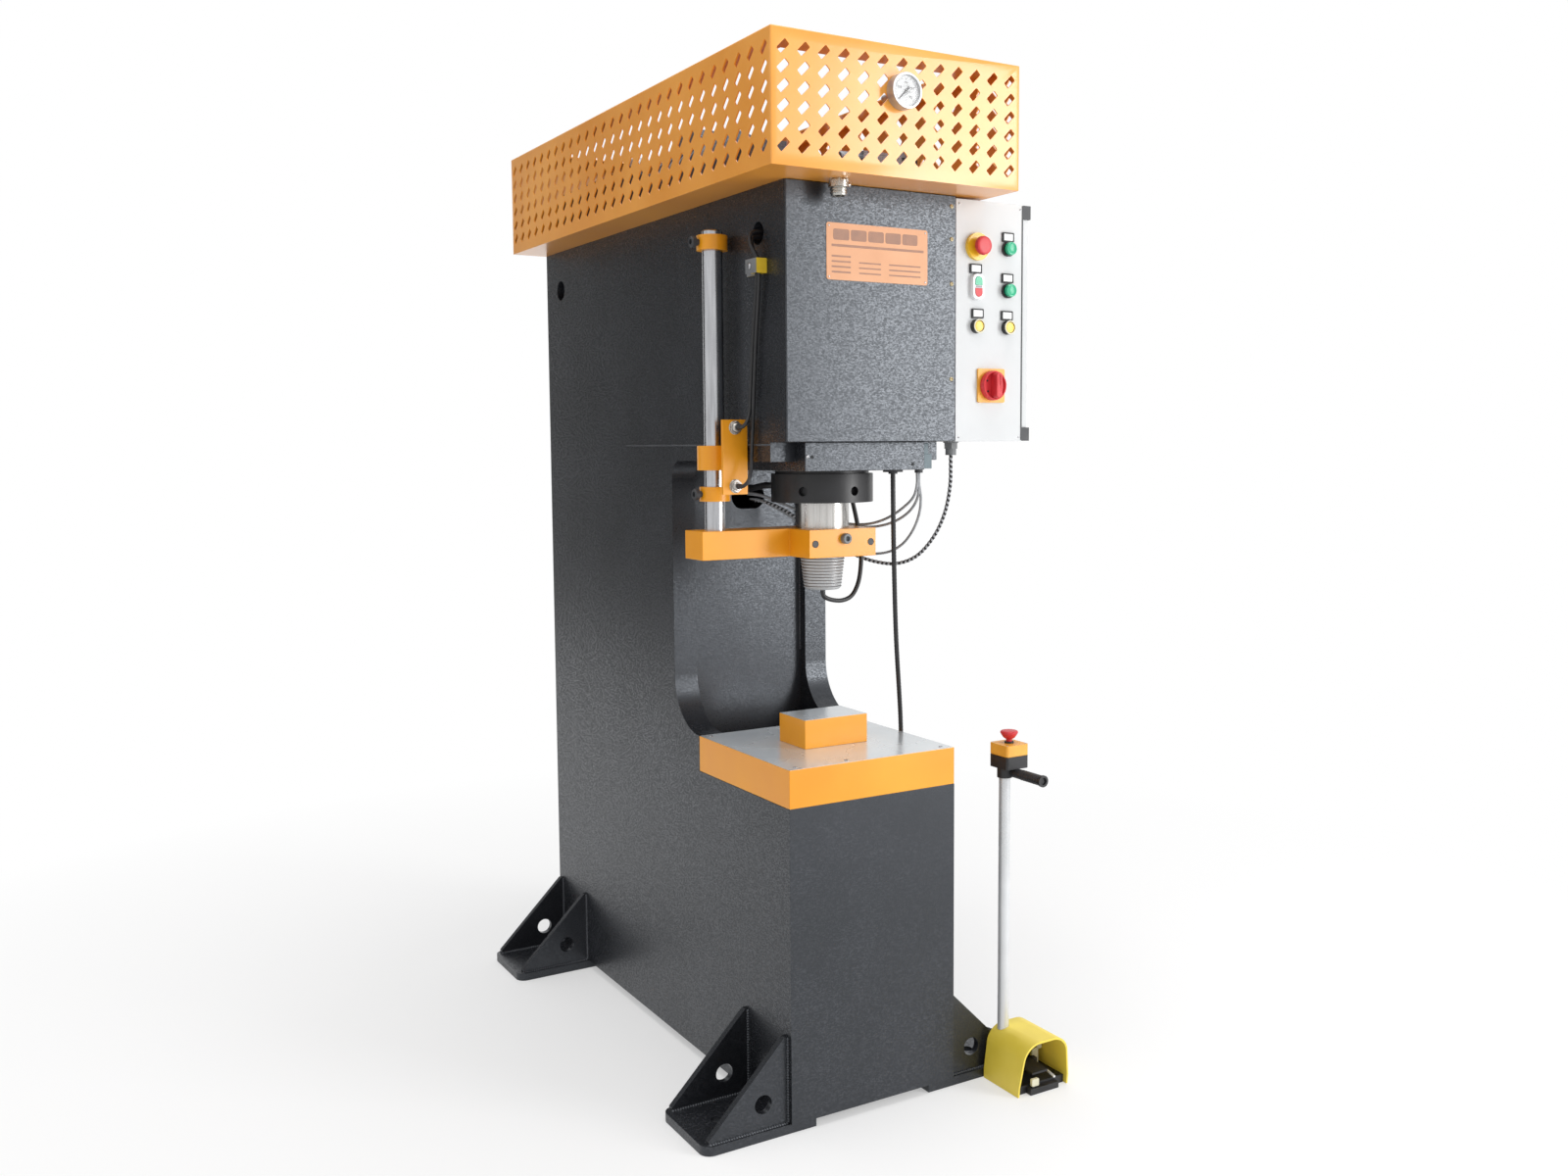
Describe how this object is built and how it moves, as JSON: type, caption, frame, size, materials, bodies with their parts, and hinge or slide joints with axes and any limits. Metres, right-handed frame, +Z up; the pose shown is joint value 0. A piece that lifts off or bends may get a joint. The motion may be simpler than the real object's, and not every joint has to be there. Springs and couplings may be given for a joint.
{
  "type": "c-frame hydraulic press",
  "caption": "C-frame hydraulic press with a guided ram, slotted power-unit cover, side control cabinet and a foot-pedal station on a conduit.",
  "frame": {"origin": "on the floor, at the centre of the four anchor holes of the feet", "axes": "+Z up, the operator stands at -Y, +X to the operator's right"},
  "size_m": [0.8843, 1.455, 2.215],
  "materials": {
    "black_paint": "coarse textured enamel",
    "orange_paint": "glossy enamel",
    "cover_paint": "glossy enamel on sheet",
    "table_steel": "enamelled sides, ground top face",
    "ram_chrome": "hard chrome, ground",
    "rod_chrome": "ground",
    "burnished_steel": "black oxide",
    "bright_steel": "machined",
    "bright_fittings": "nickel plated",
    "sensor_metal": "plated",
    "clamp_yellow": "satin",
    "cable_black": "satin sheath",
    "cable_grey": "satin sheath",
    "conduit_grey": "spiral steel conduit",
    "motor_paint": "satin",
    "tank_paint": "satin",
    "valve_metal": "phosphated",
    "gauge_metal": "polished bezel, white dial",
    "needle_black": "matt",
    "cabinet_grey": "fine satin powder coat",
    "corner_plastic": "satin",
    "bezel_mixed": "yellow, black and white bezels",
    "red_plastic": "satin",
    "green_plastic": "satin",
    "yellow_plastic": "satin",
    "pedal_yellow": "moulded",
    "pedal_black": "moulded",
    "pole_steel": "drawn tube",
    "box_plastic": "black box, yellow lid"
  },
  "bodies": {
    "press": {"left_side_plate": "black_paint", "right_side_plate": "black_paint", "throat_web": "black_paint", "back_plate": "black_paint", "pedestal_front_plate": "black_paint", "head_front_panel": "black_paint", "cylinder_mount_block": "black_paint", "table_plate": "table_steel", "die_block": "table_steel", "foot_front_left": "black_paint", "foot_front_right": "black_paint", "foot_rear_left": "black_paint", "foot_rear_right": "black_paint", "cylinder_barrel": "burnished_steel", "ring_nut": "burnished_steel", "guide_bracket": "orange_paint", "sensor_plate": "orange_paint", "limit_sensors": "sensor_metal", "cable_clamp": "clamp_yellow", "sensor_cable": "cable_black", "cover_front": "cover_paint", "cover_rear": "cover_paint", "cover_left": "cover_paint", "cover_right": "cover_paint", "cover_flange": "cover_paint", "cover_floor": "cover_paint", "oil_tank": "tank_paint", "pump_motor": "motor_paint", "valve_block": "valve_metal", "gauge_case": "gauge_metal", "cabinet_body": "cabinet_grey", "button_bezels": "bezel_mixed", "cable_glands": "bright_fittings", "spiral_conduit": "conduit_grey", "grey_cables": "cable_grey", "ring_hose": "cable_black", "pedal_conduit": "cable_black", "pedal_base": "pedal_black", "pedal_guard": "pedal_yellow", "pedal_pole": "pole_steel", "pole_box": "box_plastic"},
    "ram": {"ram_rod": "ram_chrome", "antirotation_arm": "orange_paint", "arm_screws": "bright_steel", "guide_rod": "rod_chrome", "stop_collars": "orange_paint", "nose_hose": "cable_black"},
    "door": {"cabinet_door": "cabinet_grey", "door_corners": "corner_plastic"},
    "emergency_stop": {"estop_button": "red_plastic"},
    "start": {"start_button": "green_plastic"},
    "cycle": {"cycle_button": "green_plastic"},
    "twin_green": {"twin_button_green": "green_plastic"},
    "twin_red": {"twin_button_red": "red_plastic"},
    "left_yellow": {"left_yellow_button": "yellow_plastic"},
    "right_yellow": {"right_yellow_button": "yellow_plastic"},
    "main_switch": {"switch_handle": "red_plastic"},
    "needle": {"gauge_needle": "needle_black"},
    "treadle": {"pedal_treadle": "pedal_black"},
    "pole_stop": {"pole_estop": "red_plastic"}
  },
  "joints": [
    {"name": "ram_stroke", "type": "slide", "parent": "press", "child": "ram", "axis": [0, 0, -1], "range_m": [0, 0.22]},
    {"name": "door_hinge", "type": "hinge", "parent": "press", "child": "door", "pos_m": [0.411, -0.2605, 1.699], "axis": [0, 0, 1], "range_deg": [0, 110]},
    {"name": "emergency_stop_press", "type": "slide", "parent": "press", "child": "emergency_stop", "axis": [0, 1, 0], "range_m": [0, 0.006]},
    {"name": "start_press", "type": "slide", "parent": "press", "child": "start", "axis": [0, 1, 0], "range_m": [0, 0.004], "stiffness_N_per_m": 400, "springref_m": -0.001},
    {"name": "cycle_press", "type": "slide", "parent": "press", "child": "cycle", "axis": [0, 1, 0], "range_m": [0, 0.004], "stiffness_N_per_m": 400, "springref_m": -0.001},
    {"name": "twin_green_press", "type": "slide", "parent": "press", "child": "twin_green", "axis": [0, 1, 0], "range_m": [0, 0.004], "stiffness_N_per_m": 400, "springref_m": -0.001},
    {"name": "twin_red_press", "type": "slide", "parent": "press", "child": "twin_red", "axis": [0, 1, 0], "range_m": [0, 0.004], "stiffness_N_per_m": 400, "springref_m": -0.001},
    {"name": "left_yellow_press", "type": "slide", "parent": "press", "child": "left_yellow", "axis": [0, 1, 0], "range_m": [0, 0.004], "stiffness_N_per_m": 400, "springref_m": -0.001},
    {"name": "right_yellow_press", "type": "slide", "parent": "press", "child": "right_yellow", "axis": [0, 1, 0], "range_m": [0, 0.004], "stiffness_N_per_m": 400, "springref_m": -0.001},
    {"name": "main_switch_turn", "type": "hinge", "parent": "press", "child": "main_switch", "pos_m": [0.3035, -0.658, 1.5625], "axis": [0, 1, 0], "range_deg": [0, 90]},
    {"name": "needle_turn", "type": "hinge", "parent": "press", "child": "needle", "pos_m": [-0.009, -0.7835, 2.125], "axis": [0, 1, 0], "range_deg": [0, 270]},
    {"name": "treadle_press", "type": "hinge", "parent": "press", "child": "treadle", "pos_m": [0.369, -0.708, 0.038], "axis": [1, 0, 0], "range_deg": [0, 8], "stiffness_Nm_per_rad": 4, "springref_deg": -5.73},
    {"name": "pole_stop_press", "type": "slide", "parent": "press", "child": "pole_stop", "axis": [0, 0, -1], "range_m": [0, 0.005]}
  ]
}
